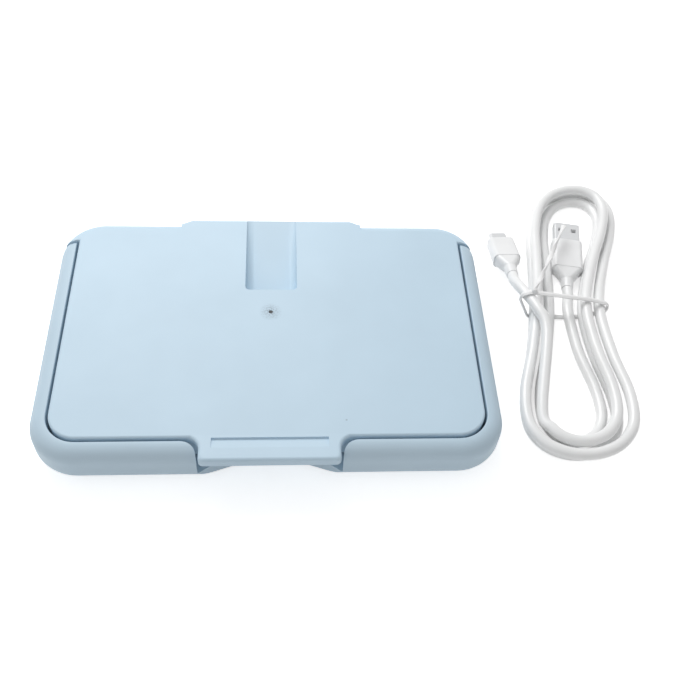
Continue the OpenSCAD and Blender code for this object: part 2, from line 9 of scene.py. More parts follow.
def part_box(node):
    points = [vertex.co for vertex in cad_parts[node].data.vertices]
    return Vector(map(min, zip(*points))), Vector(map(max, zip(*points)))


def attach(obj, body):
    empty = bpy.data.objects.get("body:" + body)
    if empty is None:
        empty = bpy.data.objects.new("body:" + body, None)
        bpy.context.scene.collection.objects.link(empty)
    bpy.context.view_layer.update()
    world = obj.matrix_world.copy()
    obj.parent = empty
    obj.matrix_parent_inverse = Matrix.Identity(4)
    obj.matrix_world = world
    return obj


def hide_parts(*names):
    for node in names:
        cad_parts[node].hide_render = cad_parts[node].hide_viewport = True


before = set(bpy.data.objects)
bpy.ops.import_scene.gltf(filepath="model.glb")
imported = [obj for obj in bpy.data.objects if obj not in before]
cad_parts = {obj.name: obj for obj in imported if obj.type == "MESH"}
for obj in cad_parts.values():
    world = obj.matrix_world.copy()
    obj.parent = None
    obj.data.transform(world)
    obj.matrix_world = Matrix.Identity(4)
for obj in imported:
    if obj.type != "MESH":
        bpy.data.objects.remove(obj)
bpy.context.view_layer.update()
mm = 0.001


def nodeBox(node):
    low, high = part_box(node)
    return Vector(low) / mm, Vector(high) / mm


# Camera and light

camera = {
    "position": (4.493, -224.875, 304.290),
    "yaw": 0.125,           # radians towards +X
    "pitch": 0.921,         # radians downwards
    "roll": 0.097,
    "focal": 896.02 / 700,  # in frame widths
    "sensor": 36,
    "clip": (0.01, 20),     # metres
}


def makeCamera():
    yaw, pitch, roll = camera["yaw"], camera["pitch"], camera["roll"]
    ahead = Vector((math.sin(yaw) * math.cos(pitch), math.cos(yaw) * math.cos(pitch), -math.sin(pitch)))
    level = Vector((math.cos(yaw), -math.sin(yaw), 0))
    upright = level.cross(ahead)
    across = level * math.cos(roll) + upright * math.sin(roll)
    up = upright * math.cos(roll) - level * math.sin(roll)
    data = bpy.data.cameras.new("photoCamera")
    data.sensor_width = camera["sensor"]
    data.lens = camera["focal"] * camera["sensor"]
    data.clip_start, data.clip_end = camera["clip"]
    eye = bpy.data.objects.new("photoCamera", data)
    bpy.context.scene.collection.objects.link(eye)
    turn = Matrix((across, up, -ahead)).transposed().to_4x4()
    eye.matrix_world = Matrix.Translation(Vector(camera["position"]) * mm) @ turn
    bpy.context.scene.camera = eye


light = {
    "room": 0.46,                 # even light from all round
    "window": (-140, 400, 520),   # the main lamp, above and behind
    "windowSize": 460,
    "windowPower": 2.7,
    "fill": (-420, -300, 420),
    "fillSize": 500,
    "fillPower": 0.2,
}


def makeLamp(name, place, size, power):
    data = bpy.data.lights.new(name, "AREA")
    data.shape = "DISK"
    data.size = size * mm
    data.energy = power
    lamp = bpy.data.objects.new(name, data)
    bpy.context.scene.collection.objects.link(lamp)
    lamp.location = Vector(place) * mm
    lamp.rotation_euler = (-lamp.location).to_track_quat("-Z", "Y").to_euler()


# Shader maths: a Wire is one socket, and its operators add Math nodes

class Wire:
    def __init__(self, shader, socket):
        self.shader = shader
        self.socket = socket

    def maths(self, operation, *others):
        return self.shader.node("ShaderNodeMath", {"operation": operation}, dict(enumerate((self, *others))))

    def __add__(self, other):
        return self.maths("ADD", other)

    def __sub__(self, other):
        return self.maths("SUBTRACT", other)

    def __rsub__(self, other):
        return self.shader.node("ShaderNodeMath", {"operation": "SUBTRACT"}, {0: other, 1: self})

    def __mul__(self, other):
        return self.maths("MULTIPLY", other)

    def clipped(self, low, high):
        settings = {"clamp": True}
        return self.shader.node("ShaderNodeMapRange", settings, {0: self, 1: low, 2: high, 3: 0, 4: 1})

    __radd__ = __add__
    __rmul__ = __mul__


class Shader:
    def __init__(self, name):
        self.material = bpy.data.materials.new(name)
        self.material.use_nodes = True
        self.tree = self.material.node_tree
        self.surface = self.tree.nodes["Principled BSDF"]

    def node(self, kind, settings=None, inputs=None, output=0):
        made = self.tree.nodes.new(kind)
        for key, value in (settings or {}).items():
            setattr(made, key, value)
        for key, value in (inputs or {}).items():
            self.feed(made.inputs[key], value)
        return Wire(self, made.outputs[output])

    def feed(self, socket, value):
        if isinstance(value, Wire):
            self.tree.links.new(value.socket, socket)
        elif hasattr(socket.default_value, "__len__") and len(socket.default_value) == 4:
            socket.default_value = (*value[:3], 1)
        else:
            socket.default_value = value

    def set(self, **values):
        for key, value in values.items():
            self.feed(self.surface.inputs[key.replace("_", " ")], value)

    def place(self):
        return self.node("ShaderNodeTexCoord", output="Object")

    def noise(self, scale, detail=2, rough=0.5, place=None, output=0):
        inputs = {"Vector": place or self.place(), "Scale": scale, "Detail": detail, "Roughness": rough}
        return self.node("ShaderNodeTexNoise", None, inputs, output)

    def mix(self, share, first, second):
        settings = {"data_type": "RGBA"}
        return self.node("ShaderNodeMix", settings, {0: share, 6: first, 7: second}, 2)

    def bump(self, height, depth, strength=1.0):
        inputs = {"Height": height, "Distance": depth * mm, "Strength": strength}
        return self.node("ShaderNodeBump", None, inputs)


def shade(colour, amount):
    return [min(1, c * amount) for c in colour]


# Materials

plastic = {
    "lid": (0.553, 0.708, 0.828),
    "frame": (0.535, 0.675, 0.780),
    "inner": (0.80, 0.82, 0.83),
    "gloss": 0.42,
    "cloud": 22,                  # broad unevenness of the tint, in waves a metre
    "cloudShades": (0.965, 1.03),
    "grain": 1500,                # fine moulded grain
    "grainDepth": 0.012,
    "slow": 70,                   # slow change of the roughness
    "slowRough": 0.08,
    "speck": 62,                  # cells a metre for the odd speck of dust
    "speckSize": (0.018, 0.030),
    "speckPick": 0.31,            # which cells hold one
    "speckFew": (0.60, 0.62),
    "speckMix": 0.45,
    "speckShade": 0.42,
    "dot": (-0.1, 7.5),           # the status light and the dotted ring round it
    "dotRadius": 0.9,
    "haloRadius": 4.8,
    "haloGrain": 1900,
    "haloMix": (0.5, 0.14),
    "haloShade": 0.22,
}


def moulded(name, colour, rough, halo=False):
    s = Shader(name)
    place = s.place()
    cloud = s.noise(plastic["cloud"], 3, 0.55, place)
    darker, lighter = [shade(colour, amount) for amount in plastic["cloudShades"]]
    colourNow = s.mix(cloud.clipped(0.3, 0.75), darker, lighter)
    cells = s.node("ShaderNodeTexVoronoi", None, {"Vector": place, "Scale": plastic["speck"]})
    few = s.noise(plastic["speck"] * plastic["speckPick"], 0, 0.5, place).clipped(*plastic["speckFew"])
    speck = (1 - cells.clipped(*plastic["speckSize"])) * few
    colourNow = s.mix(speck * plastic["speckMix"], colourNow, shade(colour, plastic["speckShade"]))
    if halo:
        parts = s.node("ShaderNodeSeparateXYZ", None, {0: place})
        across = parts - plastic["dot"][0] * mm
        back = Wire(s, parts.socket.node.outputs[1]) - plastic["dot"][1] * mm
        away = (across * across + back * back).maths("POWER", 0.5)
        ring = 1 - away.clipped(plastic["dotRadius"] * mm, plastic["haloRadius"] * mm)
        dots = s.noise(plastic["haloGrain"], 1, 0.6, place).clipped(0.47, 0.60)
        dotted, even = plastic["haloMix"]
        colourNow = s.mix(ring * (dots * dotted + even), colourNow, shade(colour, plastic["haloShade"]))
    grain = s.noise(plastic["grain"], 2, 0.6, place)
    slow = s.noise(plastic["slow"], 2, 0.5, place)
    s.set(
        Base_Color=colourNow,
        Roughness=rough + slow * plastic["slowRough"],
        Normal=s.bump(grain, plastic["grainDepth"]),
        Specular_IOR_Level=plastic["gloss"],
    )
    return s.material


white = {
    "cord": (0.93, 0.935, 0.935),
    "plug": (0.90, 0.905, 0.91),
    "tie": (0.93, 0.93, 0.93),
    "cloud": 60,
    "cloudShades": (0.955, 1.02),
    "cloudRough": 0.12,
    "orangePeel": 420,
    "peelDepth": 0.03,
    "coat": 0.25,
    "coatRough": 0.12,
}


def glossyWhite(name, colour, rough):
    s = Shader(name)
    place = s.place()
    cloud = s.noise(white["cloud"], 2, 0.5, place)
    orangePeel = s.noise(white["orangePeel"], 2, 0.5, place)
    darker, lighter = [shade(colour, amount) for amount in white["cloudShades"]]
    s.set(
        Base_Color=s.mix(cloud.clipped(0.3, 0.75), darker, lighter),
        Roughness=rough + cloud * white["cloudRough"],
        Normal=s.bump(orangePeel, white["peelDepth"]),
        Coat_Weight=white["coat"],
        Coat_Roughness=white["coatRough"],
    )
    return s.material


brushed = {
    "lines": 900,
    "lineDepth": 0.006,
    "lineRough": 0.14,
    "patches": 140,
    "patchShade": 0.96,
}


def metal(name, colour, rough, stretch=(1, 1, 1)):
    s = Shader(name)
    scaled = s.node("ShaderNodeMapping", None, {"Vector": s.place(), "Scale": stretch})
    lines = s.noise(brushed["lines"], 3, 0.6, scaled)
    patches = s.noise(brushed["patches"], 2, 0.5)
    s.set(
        Base_Color=s.mix(patches.clipped(0.3, 0.8), shade(colour, brushed["patchShade"]), colour),
        Metallic=1.0,
        Roughness=rough + lines * brushed["lineRough"],
        Normal=s.bump(lines, brushed["lineDepth"]),
    )
    return s.material


softFinishes = {    # name, colour, roughness, waves a metre, depth of the bump in millimetres
    "film": ("heaterFilm", (0.50, 0.22, 0.05), 0.3, 160, 0.02),
    "felt": ("insulationFelt", (0.74, 0.73, 0.68), 0.95, 900, 0.15),
    "foam": ("foamPad", (0.74, 0.74, 0.71), 0.9, 1600, 0.1),
    "seal": ("sealSilicone", (0.66, 0.72, 0.75), 0.5, 600, 0.02),
    "black": ("componentBlack", (0.03, 0.03, 0.035), 0.4, 1200, 0.01),
    "smoke": ("lightSmoke", (0.004, 0.005, 0.006), 0.5, 500, 0.005),
    "wire": ("wireSilicone", (0.42, 0.04, 0.03), 0.4, 800, 0.01),
}


def soft(name, colour, rough, scale, depth):
    s = Shader(name)
    place = s.place()
    cells = s.noise(scale, 3, 0.6, place)
    s.set(
        Base_Color=s.mix(cells.clipped(0.3, 0.7), shade(colour, 0.9), colour),
        Roughness=rough,
        Normal=s.bump(cells, depth),
    )
    return s.material


boardFinish = {
    "bricks": 260,
    "line": 0.05,
    "greens": ((0.02, 0.13, 0.05), (0.03, 0.17, 0.07)),
    "lineGreen": (0.08, 0.30, 0.14),
    "rough": 0.3,
}


def board(name):
    s = Shader(name)
    place = s.place()
    first, second = boardFinish["greens"]
    tracks = s.node(
        "ShaderNodeTexBrick", {"offset": 0.5},
        {"Vector": place, "Scale": boardFinish["bricks"], "Mortar Size": boardFinish["line"],
         "Color1": first, "Color2": second, "Mortar": boardFinish["lineGreen"]},
    )
    s.set(Base_Color=tracks, Roughness=boardFinish["rough"] + s.noise(300, 1, 0.5, place) * 0.1)
    return s.material


def makeMaterials():
    made = {
        "lid": moulded("lidPlastic", plastic["lid"], rough=0.44, halo=True),
        "frame": moulded("framePlastic", plastic["frame"], rough=0.47),
        "inner": moulded("innerPlastic", plastic["inner"], rough=0.5),
        "cord": glossyWhite("cordSleeve", white["cord"], rough=0.24),
        "plug": glossyWhite("plugPlastic", white["plug"], rough=0.3),
        "tie": glossyWhite("tieCoating", white["tie"], rough=0.34),
        "shell": metal("plugShell", (0.66, 0.67, 0.68), rough=0.25),
        "steel": metal("screwSteel", (0.52, 0.53, 0.55), rough=0.32),
        "plate": metal("heatingPlate", (0.74, 0.75, 0.76), rough=0.34, stretch=(1, 14, 1)),
        "board": board("boardGreen"),
    }
    made.update({key: soft(*finish) for key, finish in softFinishes.items()})
    print("materials", len(made))
    return made


# Mesh tools

weld = {"new": 1e-7, "cut": 2e-6}   # points this close merge, in metres: on a new mesh, and before a bevel


def link(name, mesh):
    made = bpy.data.objects.new(name, mesh)
    bpy.context.scene.collection.objects.link(made)
    return made


def meshFrom(name, points, faces):
    mesh = bpy.data.meshes.new(name)
    mesh.from_pydata([Vector(p) * mm for p in points], [], faces)
    mesh.validate()
    return link(name, mesh)


def loft(name, rings, closed=False):
    # rings of as many points each, joined in turn; an open loft has flat ends
    count = len(rings[0])
    points = [p for ring in rings for p in ring]
    faces = []
    for i in range(len(rings) - (0 if closed else 1)):
        a, b = i * count, ((i + 1) % len(rings)) * count
        for k in range(count):
            n = (k + 1) % count
            faces.append((a + k, a + n, b + n, b + k))
    if not closed:
        faces.append(tuple(reversed(range(count))))
        faces.append(tuple((len(rings) - 1) * count + k for k in range(count)))
    made = meshFrom(name, points, faces)
    outwards(made)
    return made


def outwards(piece):
    work = bmesh.new()
    work.from_mesh(piece.data)
    bmesh.ops.remove_doubles(work, verts=work.verts, dist=weld["new"])
    bmesh.ops.recalc_face_normals(work, faces=work.faces)
    work.to_mesh(piece.data)
    work.free()


def bake(piece):
    # a piece's modifiers become its mesh
    made = bpy.data.meshes.new_from_object(piece.evaluated_get(bpy.context.evaluated_depsgraph_get()))
    piece.modifiers.clear()
    old = piece.data
    piece.data = made
    made.name = piece.name
    if old.users == 0:
        bpy.data.meshes.remove(old)


def combine(piece, tools, operation):
    for tool in tools:
        step = piece.modifiers.new("combine", "BOOLEAN")
        step.object = tool
        step.operation = operation
        step.solver = "MANIFOLD"
    bake(piece)
    for tool in tools:
        bpy.data.objects.remove(tool)
    return piece


def cut(piece, *tools):
    return combine(piece, tools, "DIFFERENCE")


def add(piece, *tools):
    return combine(piece, tools, "UNION")


def keep(piece, *tools):
    return combine(piece, tools, "INTERSECT")


def roundEdges(piece, width, pick, least=35, segments=3):
    # bevels the sharp edges that pick accepts, by their middle and direction in millimetres
    work = bmesh.new()
    work.from_mesh(piece.data)
    bmesh.ops.remove_doubles(work, verts=work.verts, dist=weld["cut"])
    chosen = []
    for edge in work.edges:
        if len(edge.link_faces) != 2 or edge.calc_face_angle(0) < math.radians(least):
            continue
        middle = (edge.verts[0].co + edge.verts[1].co) / 2 / mm
        along = (edge.verts[1].co - edge.verts[0].co).normalized()
        if pick(middle, along):
            chosen.append(edge)
    bmesh.ops.bevel(
        work, geom=chosen, offset=width * mm, offset_type="OFFSET", segments=segments,
        profile=0.5, affect="EDGES", clamp_overlap=True,
    )
    work.to_mesh(piece.data)
    work.free()
    return len(chosen)


def smooth(piece, sharp=32):
    piece.data.shade_smooth()
    piece.data.set_sharp_from_angle(angle=math.radians(sharp))
    step = piece.modifiers.new("evenShading", "WEIGHTED_NORMAL")
    step.keep_sharp = True
    step.weight = 80
    bake(piece)


def paint(piece, material):
    piece.data.materials.clear()
    piece.data.materials.append(material)


def fade(t):
    t = max(0, min(1, t))
    return t * t * (3 - 2 * t)


def arcPoints(cx, cy, r, start, end, steps):
    turns = [math.radians(start + (end - start) * i / steps) for i in range(steps + 1)]
    return [(cx + r * math.cos(a), cy + r * math.sin(a)) for a in turns]


def circle(cx, cy, r, count):
    return arcPoints(cx, cy, r, 0, 360 - 360 / count, count - 1)


def quarter(steps):
    return [math.radians(90 * i / steps) for i in range(steps + 1)]


def roundRect(width, depth, r, steps=12, cx=0, cy=0):
    x, y = width / 2 - r, depth / 2 - r
    corners = ((x, y, 0), (-x, y, 90), (-x, -y, 180), (x, -y, 270))
    return [p for a, b, turn in corners for p in arcPoints(cx + a, cy + b, r, turn, turn + 90, steps)]


def prism(name, outline, low, high):
    return loft(name, [[(x, y, z) for x, y in outline] for z in (low, high)])


def stack(name, outlineAt, levels):
    # levels are (height, growth of the outline)
    return loft(name, [[(x, y, z) for x, y in outlineAt(grow)] for z, grow in levels])


def roller(name, r, low, high, y, z, steps=48):
    # a cylinder along X
    return loft(name, [[(x, a, b) for a, b in circle(y, z, r, steps)] for x in (low, high)])


def block(name, low, high):
    (x0, y0, z0), (x1, y1, z1) = low, high
    return prism(name, [(x0, y0), (x1, y0), (x1, y1), (x0, y1)], z0, z1)


# Sizes shared by the frame and the lid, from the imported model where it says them

baseLow, baseHigh = nodeBox("base_frame")
lidLow = nodeBox("lid_cover")[0]
padLow, padHigh = nodeBox("adhesive_pad")
pinLow, pinHigh = nodeBox("hinge_pin")
coverLow = nodeBox("lid_inner_cover")[0]
plateLow, plateHigh = nodeBox("bottom_plate")

body = {
    "width": baseHigh.x - baseLow.x,
    "depth": -2 * baseLow.y,
    "bottom": padHigh.z,
    "rimTop": baseHigh.z,
    "corner": 18,
    "lowerRound": 9,
    "rimRound": 6,
    "rimWidth": 7.5,
    "wall": 2,
    "rimEdge": 0.45,          # rounding of the rim's inner edge
    "openingLength": 108,
    "openingWidth": 60,
    "openingCorner": 12,
    "openingY": (padHigh.y + padLow.y) / 2,
    "openingEdge": 0.8,
    "deckTop": coverLow.z - 1.4,
    "rearWall": coverLow.z - 0.4,
    "rearEdge": 0.35,
    "ridge": 4,               # the rear wall's thickness under the lid
    "scoopDepth": 9.5,
    "notchEdge": 0.9,
    "trayGap": 0.2,           # round the bottom plate
    "trayCorner": 9,
    "pinGap": 0.02,
}
lid = {
    "top": 22.0,
    "bottom": coverLow.z,
    "corner": 11,
    "gap": 1,
    "edge": 0.9,              # rounding of the lid's upper edge
    "lowerEdge": 0.4,
    "shoulder": 12,
    "tabWidth": 52,
    "tabFront": lidLow.y,
    "tabThick": 4,
    "tabRise": 0.4,
    "tabEdge": 1.3,
    "tabLowerEdge": 0.7,
    "tabCorner": 1.6,
    "tabSlope": 8,            # the length over which the tab rises
    "flare": 5,
    "stepWidth": 43,
    "stepDepth": 0.8,
    "stepLength": 4.4,
    "stepStart": 0.4,
    "stepRise": 0.16,
    "stepFillet": [(0, 0.3), (0.12, 0.08), (0.4, 0)],
    "tabRoot": 3,             # how far the tab reaches into the lid
    "tabFlat": 2,             # its underside doesn't rise, up to here
    "pinGap": 0.06,
}
hinge = {
    "y": (pinLow.y + pinHigh.y) / 2,
    "z": (pinLow.z + pinHigh.z) / 2,
    "width": pinHigh.x - pinLow.x + 1,   # half a millimetre past each end of the pin
    "middle": 46.8,
    "r": 2.6,
    "play": 0.3,
    "back": body["depth"] / 2 + 1.9,
    "topRound": 3,
    "swell": 5,               # how gently the skirt's ends leave the lid's back
    "skirtStart": 9,          # how far it reaches in over the lid
    "skirtFoot": 0.6,         # its lower edge, above the pin
    "skirtWall": 2,
    "skirtMeet": 0.05,        # its ends stand this far out of the lid's back
}
recess = {
    "width": 21.4,
    "length": 38.6,
    "deep": 7,
    "shallow": 1.2,
    "fillet": 3.4,
    "filletShare": 0.8,       # of the depth, where the recess is shallow
    "corner": 1.9,
    "wall": 1.6,
    "edge": 0.6,
    "socket": (9.34, 3.56, 1.6),   # the hole's width, height and corner
    "socketLift": 3.58,
    "socketReach": (-3, 0.6),
    "lightHole": 0.85,
    "sections": (0.15, 0.4, 0.6, 0.7, 0.8, 0.9, 1),   # shares of its length
    "reach": (22, 12),        # of the cutting shape, upwards and past the back
}
cutter = {    # how far the cutting shapes reach past the piece
    "side": 200,
    "front": 20,
    "along": 60,
    "above": 9,
    "past": 5,
    "join": 2,
}
frontY = -body["depth"] / 2
rearY = body["depth"] / 2
lidFront = frontY + body["rimWidth"]
lidHalf = body["width"] / 2 - body["rimWidth"]
shoulderY = rearY - lid["shoulder"]
notchHalf = lid["tabWidth"] / 2 + 1
notchRound = 6


def lidMain(grow):
    width, depth = 2 * (lidHalf + grow), rearY - lidFront + 2 * grow
    return roundRect(width, depth, lid["corner"] + grow, 14, 0, (rearY + lidFront) / 2)


def lidOutline(grow):
    # the lid seen from above, with its full-width shoulders at the rear; grow is 0 or less
    r = body["corner"] + grow
    cornerX, cornerY = body["width"] / 2 - body["corner"], body["depth"] / 2 - body["corner"]
    step = shoulderY - grow
    start = math.degrees(math.asin((step - cornerY) / r))
    x, y, small = lidHalf + grow, lidFront - grow, lid["corner"] + grow
    right = arcPoints(x - small, y + small, small, 270, 360, 14) + [(x, step)]
    right += arcPoints(cornerX, cornerY, r, start, 90, 14)
    left = [(-a, b) for a, b in reversed(right)]
    return right + left


def slab(name, low, high, inset=0, steps=24):
    lower, upper = body["lowerRound"] - inset, body["rimRound"] - inset
    levels = [(low + lower - lower * math.cos(a), lower - lower * math.sin(a)) for a in quarter(14)]
    levels += [(high - upper + upper * math.sin(a), upper - upper * math.cos(a)) for a in quarter(14)]
    rings = []
    for z, d in levels:
        width, depth = [body[side] - 2 * (inset + d) for side in ("width", "depth")]
        rings.append([(x, y, z) for x, y in roundRect(width, depth, body["corner"] - inset - d, steps)])
    return loft(name, rings)


def flaredLevels(low, edgeTop, top, grow, flare, steps=5):
    # a cutter's levels: straight, then flared to round the edge that it leaves
    levels = [(low, grow), (edgeTop - flare, grow)]
    for a in quarter(steps)[1:]:
        levels.append((edgeTop - flare + flare * math.sin(a), grow + flare - flare * math.cos(a)))
    return levels + [(top, grow + flare)]


def notchOutline(grow):
    # the way round the tab: rim ends rounded, open to the front
    x, y = notchHalf + grow, lidFront - lid["gap"]
    r = notchRound - grow
    right = [(x, frontY - cutter["front"])] + arcPoints(notchHalf + notchRound, y - notchRound, r, 180, 90, 10)
    right += [(notchHalf + notchRound, y + cutter["join"])]
    return right + [(-a, b) for a, b in reversed(right)]


def scoopOutline():
    # a shallow arc as wide as the notch
    deep = body["scoopDepth"]
    r = (notchHalf ** 2 + deep ** 2) / (2 * deep)
    return circle(0, frontY + deep - r, r, 240)


def makeFrame(material):
    top, bottom, deck = body["rimTop"], body["bottom"], body["deckTop"]
    side, above, below = cutter["side"], top + cutter["above"], bottom - cutter["past"]
    shell = slab("warmer_frame", bottom, top)
    pocket = stack("pocket", lidMain, flaredLevels(deck, top, above, lid["gap"], body["rimEdge"]))
    rear = block("rear", (-side, shoulderY - lid["gap"], body["rearWall"]), (side, side, above))
    ridge = block("ridge", (-side, rearY - body["ridge"], 0), (side, side, body["rearWall"]))
    cut(pocket, ridge)
    notch = stack("notch", notchOutline, flaredLevels(deck, top, above, 0, body["rimEdge"]))
    scoop = prism("scoop", scoopOutline(), below, top + cutter["past"])

    def openingOutline(grow):
        length, width = body["openingLength"] + 2 * grow, body["openingWidth"] + 2 * grow
        return roundRect(length, width, body["openingCorner"] + grow, 12, 0, body["openingY"])

    levels = flaredLevels(below + 1, deck, deck + cutter["past"], 0, body["openingEdge"])
    opening = stack("opening", openingOutline, [(below, 0)] + levels)
    trayX, trayY = [plateHigh[i] - plateLow[i] + 2 * body["trayGap"] for i in (0, 1)]
    tray = prism("tray", roundRect(trayX, trayY, body["trayCorner"]), below, plateHigh.z)
    cut(shell, pocket, notch, scoop, rear, opening, tray)

    def onRearWall(m, d):
        return abs(m.y - shoulderY + lid["gap"]) < 0.02 and m.z > body["rearWall"] + 0.3

    def besideNotch(m, d):
        atEnd = abs(abs(m.x) - notchHalf) < 0.05 and m.y < frontY + 7
        return atEnd and 2 < m.z < top - 1 and abs(d.x) < 0.2

    roundEdges(shell, body["rearEdge"], onRearWall)
    roundEdges(shell, body["notchEdge"], besideNotch)
    middle, play, y, z = hinge["middle"] / 2, hinge["play"], hinge["y"], hinge["z"]
    along = cutter["along"]
    add(shell, roller("knuckle", hinge["r"], -middle, middle, y, z))
    ends = [sorted((s * (middle - play), s * (hinge["width"] / 2 + play))) for s in (-1, 1)]
    gaps = [roller("gap", hinge["r"] + play, low, high, y, z) for low, high in ends]
    bore = roller("bore", (pinHigh.z - pinLow.z) / 2 + body["pinGap"], -along, along, y, z, 32)
    cut(shell, *gaps, bore)
    smooth(shell)
    paint(shell, material)
    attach(shell, "base")
    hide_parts("base_frame")
    print("frame", len(shell.data.polygons), "faces")


def inRecess(points):
    # from the recess's own tilted frame: origin at its front wall's foot, +Y to the back
    tilt = math.atan((recess["deep"] - recess["shallow"]) / recess["length"])
    origin = Vector((0, rearY - recess["length"], lid["top"] - recess["deep"]))
    turn = Matrix.Rotation(tilt, 3, "X")
    return [tuple(origin + turn @ Vector(p)) for p in points]


def recessForm(name, grow, start):
    half = recess["width"] / 2 + grow
    slope = (recess["deep"] - recess["shallow"]) / recess["length"]
    up, past = recess["reach"]

    def section(y, inset):
        depth = recess["deep"] - slope * max(0, min(y, recess["length"]))
        wide = recess["fillet"] + grow
        tall = min(recess["fillet"], recess["filletShare"] * depth) + grow
        turns = [math.radians(90 * i / 8 - 90) for i in range(9)]
        right = [(half - wide + (wide - inset) * math.cos(a), tall - grow + (tall - inset) * math.sin(a))
                 for a in turns]
        right += [(half - inset, up)]
        left = [(-x, z) for x, z in reversed(right)]
        return inRecess([(x, y, z) for x, z in right + left])

    foot = 0 if grow else recess["corner"]
    turns = quarter(6) if foot else [math.radians(90)]
    rings = [section(start + foot - foot * math.sin(t), foot - foot * math.cos(t)) for t in reversed(turns)]
    rings += [section(recess["length"] * share, 0) for share in recess["sections"]]
    rings.append(section(recess["length"] + past, 0))
    return loft(name, rings)


def makeTab():
    front, back, half = lid["tabFront"], lidFront + lid["tabRoot"], lid["tabWidth"] / 2
    low, high = lid["top"] - lid["tabThick"], lid["top"]
    lower, upper, corner = lid["tabLowerEdge"], lid["tabEdge"], lid["tabCorner"]

    def outline(inset):
        x, y = half - inset, front + inset
        right = arcPoints(x - corner, y + corner, corner, 270, 360, 5)
        right += arcPoints(half + lid["flare"], lidFront - lid["flare"], lid["flare"] + inset, 180, 90, 8)
        right += [(half + lid["flare"], back)]
        return right + [(-a, b) for a, b in reversed(right)]

    levels = [(low + lower - lower * math.cos(a), lower - lower * math.sin(a)) for a in quarter(4)]
    levels += [(high - upper + upper * math.sin(a), upper - upper * math.cos(a)) for a in quarter(6)]
    rings = []
    for z, inset in levels:
        ring = []
        for x, y in outline(inset):
            risen = max(0, min(1, (lidFront - y) / lid["tabSlope"])) if z > low + lid["tabFlat"] else 0
            ring.append((x, y, z + lid["tabRise"] * risen))
        rings.append(ring)
    return loft("tab", rings)


def makeStepCutter():
    half = lid["stepWidth"] / 2
    start, foot, above = lidFront - lid["stepStart"], lid["top"] - lid["stepDepth"], lid["top"] + 3
    end = start - lid["stepLength"]
    profile = [(start - back, foot + up) for back, up in lid["stepFillet"]]
    profile += [(end, lid["top"] + lid["stepRise"]), (end, above), (start, above)]
    return loft("thumbStep", [[(x, y, z) for y, z in profile] for x in (-half, half)])


def makeSkirt(half):
    r, foot, top = hinge["topRound"], hinge["z"] + hinge["skirtFoot"], lid["top"]
    start, inside, under = rearY - hinge["skirtStart"], hinge["y"] - hinge["skirtWall"], top - hinge["skirtWall"]
    least = rearY + hinge["skirtMeet"]

    def section(x):
        back = least + (hinge["back"] - least) * fade((half - abs(x)) / hinge["swell"])
        crown = arcPoints(back - r, top - r, r, 90, 0, 10)
        profile = [(start, under), (start, top)] + crown + [(back, foot), (inside, foot), (inside, under)]
        return [(x, y, z) for y, z in profile]

    places = [half - hinge["swell"] * i / 8 for i in range(9)]
    return loft("skirt", [section(x) for x in [-x for x in places] + places[::-1]])


def makeLid(material):
    top, bottom, wall = lid["top"], lid["bottom"], body["wall"]
    r, low = lid["edge"], lid["lowerEdge"]
    levels = [(bottom, -low), (bottom + low, 0), (top - r, 0)]
    levels += [(top - r + r * math.sin(a), r * math.cos(a) - r) for a in quarter(6)[1:]]
    cover = stack("lid_cover_shell", lidOutline, levels)
    keep(cover, slab("form", body["bottom"], top))
    hollow = stack("hollow", lidOutline, [(bottom - 3, -wall), (top - wall, -wall)])
    keep(hollow, slab("innerForm", body["bottom"] + wall, top - wall, wall))
    add(hollow, stack("lower", lidMain, [(bottom - 3, -wall), (bottom + 2, -wall)]))
    cut(hollow, recessForm("recessWall", recess["wall"], -recess["wall"]))
    cut(cover, hollow)

    half, middle, along = hinge["width"] / 2, hinge["middle"] / 2, cutter["along"]
    play, y, z = hinge["play"], hinge["y"], hinge["z"]
    ends = [sorted((s * middle, s * half)) for s in (-1, 1)]
    knuckles = [roller("lidKnuckle", hinge["r"], start, end, y, z) for start, end in ends]
    add(cover, makeSkirt(half), *knuckles, makeTab())
    clear = roller("clear", hinge["r"] + play, -middle - play, middle + play, y, z)
    bore = roller("bore", (pinHigh.z - pinLow.z) / 2 + lid["pinGap"], -along, along, y, z, 32)
    cut(cover, recessForm("recess", 0, 0), makeStepCutter(), clear, bore)
    edge, front = recess["width"] / 2, rearY - recess["length"]

    def roundRecess(m, d):
        onSide = abs(abs(m.x) - edge) < 0.05 and m.y > front - 0.1 and abs(d.x) < 0.3
        onFront = abs(m.z - top) < 0.02 and abs(m.x) < edge and abs(m.y - front) < 1.5
        return onSide and m.z > top - recess["shallow"] - 4 or onFront

    count = roundEdges(cover, recess["edge"], roundRecess)
    width, height, corner = recess["socket"]
    lift, outline = recess["socketLift"], roundRect(width, height, corner, 8)
    hole = loft("socketHole", [inRecess([(x, y, z + lift) for x, z in outline]) for y in recess["socketReach"]])
    lightHole = prism("lightHole", circle(*plastic["dot"], recess["lightHole"], 24), top - 5, top + 1)
    cut(cover, hole, lightHole)
    smooth(cover)
    paint(cover, material)
    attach(cover, "lid")
    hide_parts("lid_cover")
    print("lid", len(cover.data.polygons), "faces;", count, "recess edges rounded")
